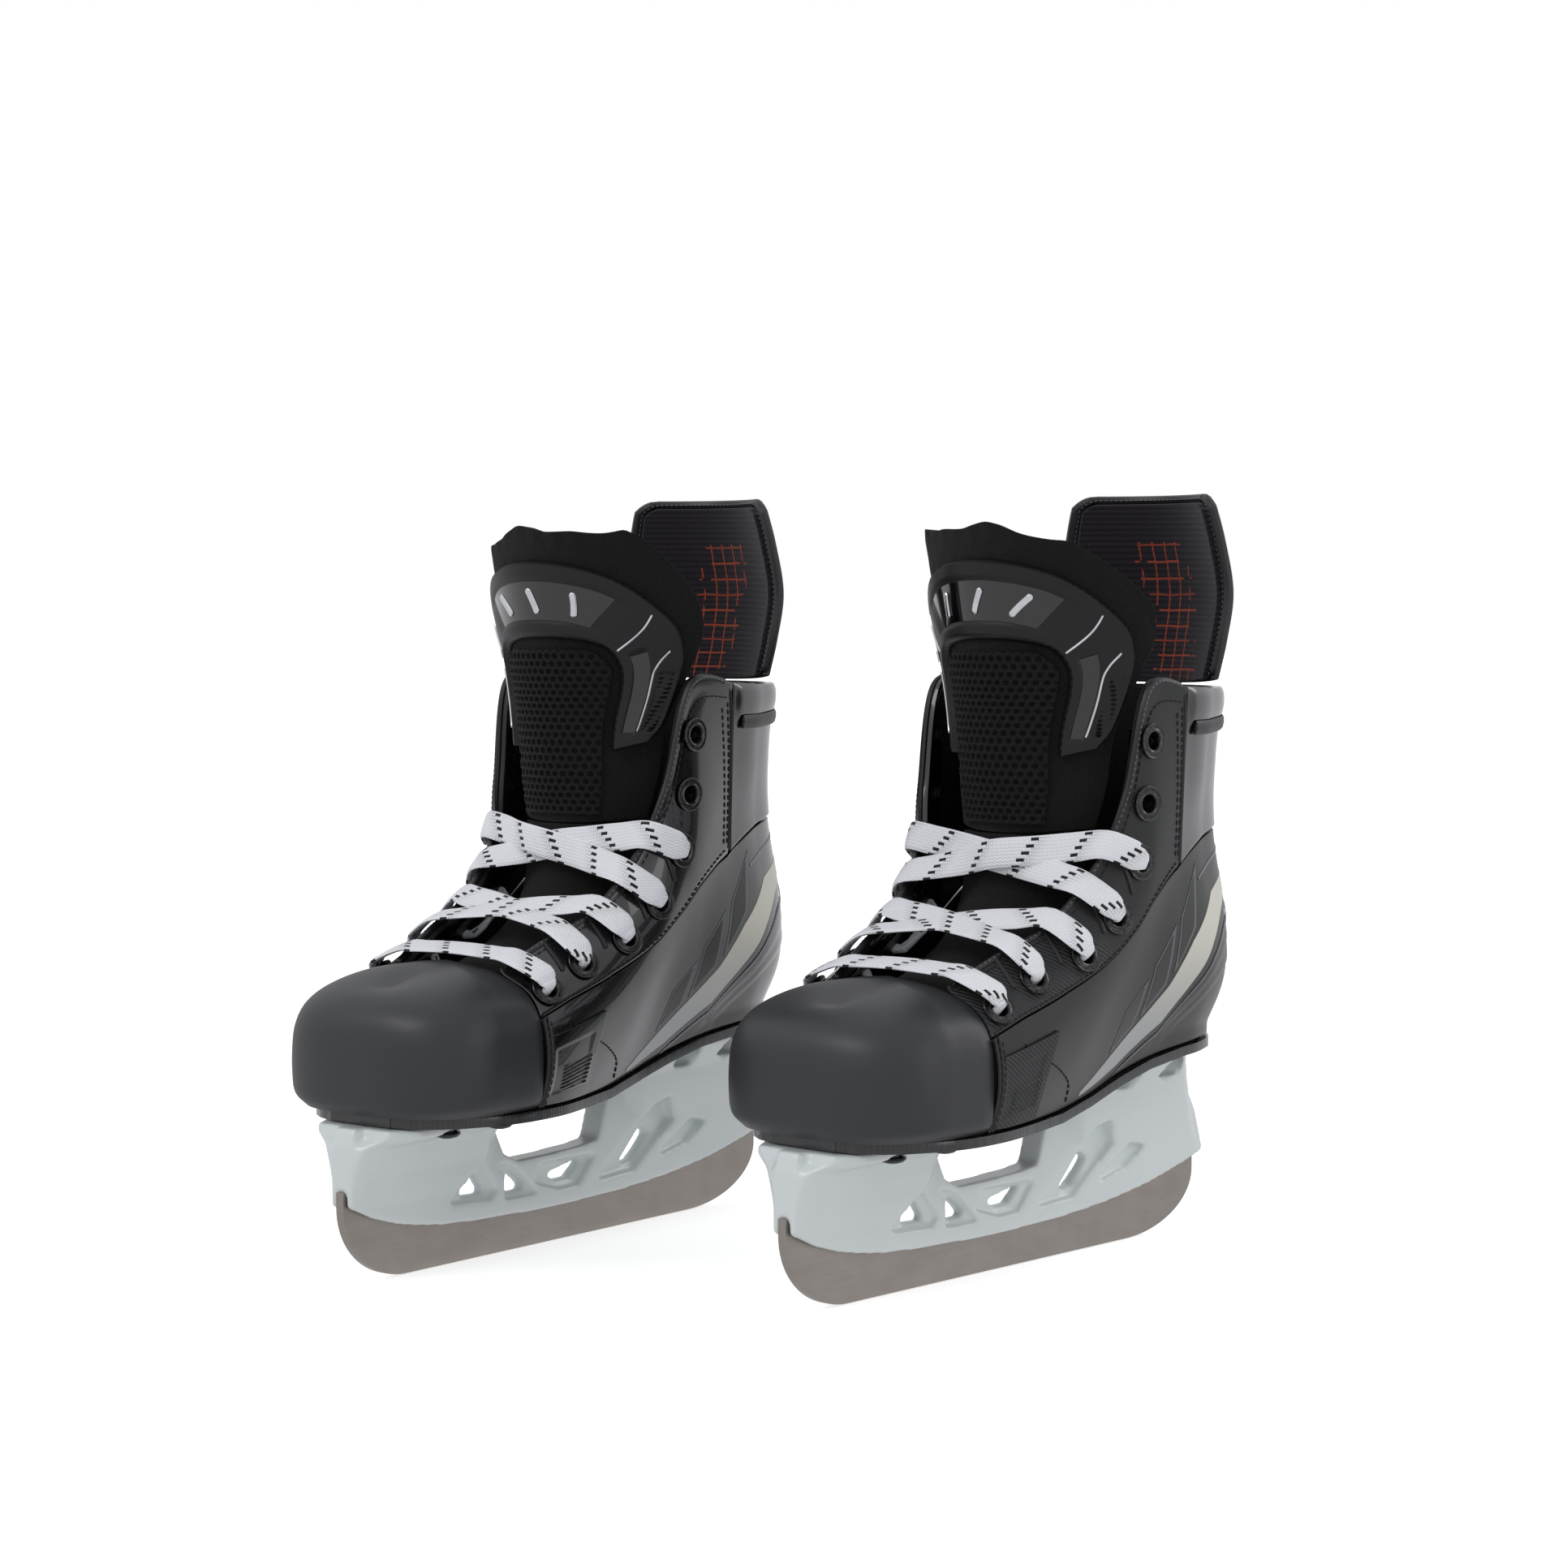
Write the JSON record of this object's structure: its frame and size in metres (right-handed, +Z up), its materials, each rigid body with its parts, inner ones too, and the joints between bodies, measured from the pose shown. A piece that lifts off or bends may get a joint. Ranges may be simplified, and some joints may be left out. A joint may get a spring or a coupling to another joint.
{
  "type": "pair of ice hockey skates",
  "caption": "Pair of youth ice hockey skates: stiff laced boots with toe caps, felt tongues and tendon guards on moulded blade holders with steel runners.",
  "frame": {"origin": "centre of the pair's bounding box, on the ice", "axes": "toes towards -Y, heels towards +Y, +Z up; the left-foot skate is at +X, the right-foot skate at -X and a little further forward, toed in by 4.85 degrees"},
  "size_m": [0.2289, 0.2655, 0.2448],
  "materials": {
    "steel": "brushed",
    "holder": "satin gloss",
    "outsole": "gloss",
    "rivet": "satin",
    "board": "matt",
    "footbed": "matt",
    "toe_cap": "matt",
    "gloss_shell": "gloss",
    "quarter": "semi-gloss",
    "facing": "matt",
    "grommet": "gloss",
    "knit": "matt",
    "badge": "satin",
    "felt": "matt",
    "lace": "matt",
    "tongue_plate": "satin",
    "mesh": "matt",
    "tendon_guard": "satin"
  },
  "bodies": {
    "left_skate": {"left_runner": "steel", "left_blade_holder": "holder", "left_outsole": "outsole", "left_toe_rivets": "rivet", "left_heel_rivets": "rivet", "left_insole_board": "board", "left_footbed": "footbed", "left_toe_cap": "toe_cap", "left_heel_cup": "gloss_shell", "left_lateral_quarter": "quarter", "left_medial_quarter": "quarter", "left_lateral_rand": "facing", "left_medial_rand": "facing", "left_lateral_facing": "facing", "left_medial_facing": "gloss_shell", "left_lateral_eyelets": "grommet", "left_medial_eyelets": "grommet", "left_collar": "gloss_shell", "left_ankle_lining": "knit", "left_heel_badge": "badge", "left_tongue_base": "felt", "left_lace": "lace"},
    "left_tongue": {"left_tongue_felt": "felt", "left_tongue_guard": "tongue_plate", "left_tongue_mesh": "mesh"},
    "left_guard": {"left_tendon_guard": "tendon_guard", "left_tendon_guard_liner": "knit"},
    "right_skate": {"right_runner": "steel", "right_blade_holder": "holder", "right_outsole": "outsole", "right_toe_rivets": "rivet", "right_heel_rivets": "rivet", "right_insole_board": "board", "right_footbed": "footbed", "right_toe_cap": "toe_cap", "right_heel_cup": "gloss_shell", "right_lateral_quarter": "quarter", "right_medial_quarter": "quarter", "right_lateral_rand": "facing", "right_medial_rand": "facing", "right_lateral_facing": "facing", "right_medial_facing": "gloss_shell", "right_lateral_eyelets": "grommet", "right_medial_eyelets": "grommet", "right_collar": "gloss_shell", "right_ankle_lining": "knit", "right_heel_badge": "badge", "right_tongue_base": "felt", "right_lace": "lace"},
    "right_tongue": {"right_tongue_felt": "felt", "right_tongue_guard": "tongue_plate", "right_tongue_mesh": "mesh"},
    "right_guard": {"right_tendon_guard": "tendon_guard", "right_tendon_guard_liner": "knit"}
  },
  "joints": [
    {"name": "left_tongue_flex", "type": "hinge", "parent": "left_skate", "child": "left_tongue", "pos_m": [0.07164, 0.02633, 0.137], "axis": [1, 0, 0], "range_deg": [-4, 40]},
    {"name": "left_guard_flex", "type": "hinge", "parent": "left_skate", "child": "left_guard", "pos_m": [0.07164, 0.11813, 0.1836], "axis": [1, 0, 0], "range_deg": [-30, 4]},
    {"name": "right_tongue_flex", "type": "hinge", "parent": "right_skate", "child": "right_tongue", "pos_m": [-0.06619, -0.03394, 0.137], "axis": [0.9964, 0.0845, 0], "range_deg": [-4, 40]},
    {"name": "right_guard_flex", "type": "hinge", "parent": "right_skate", "child": "right_guard", "pos_m": [-0.07395, 0.05753, 0.1836], "axis": [0.9964, 0.0845, 0], "range_deg": [-30, 4]},
    {"name": "right_lift", "type": "slide", "parent": "left_skate", "child": "right_skate", "axis": [0, 0, 1], "range_m": [0, 0.3]}
  ]
}
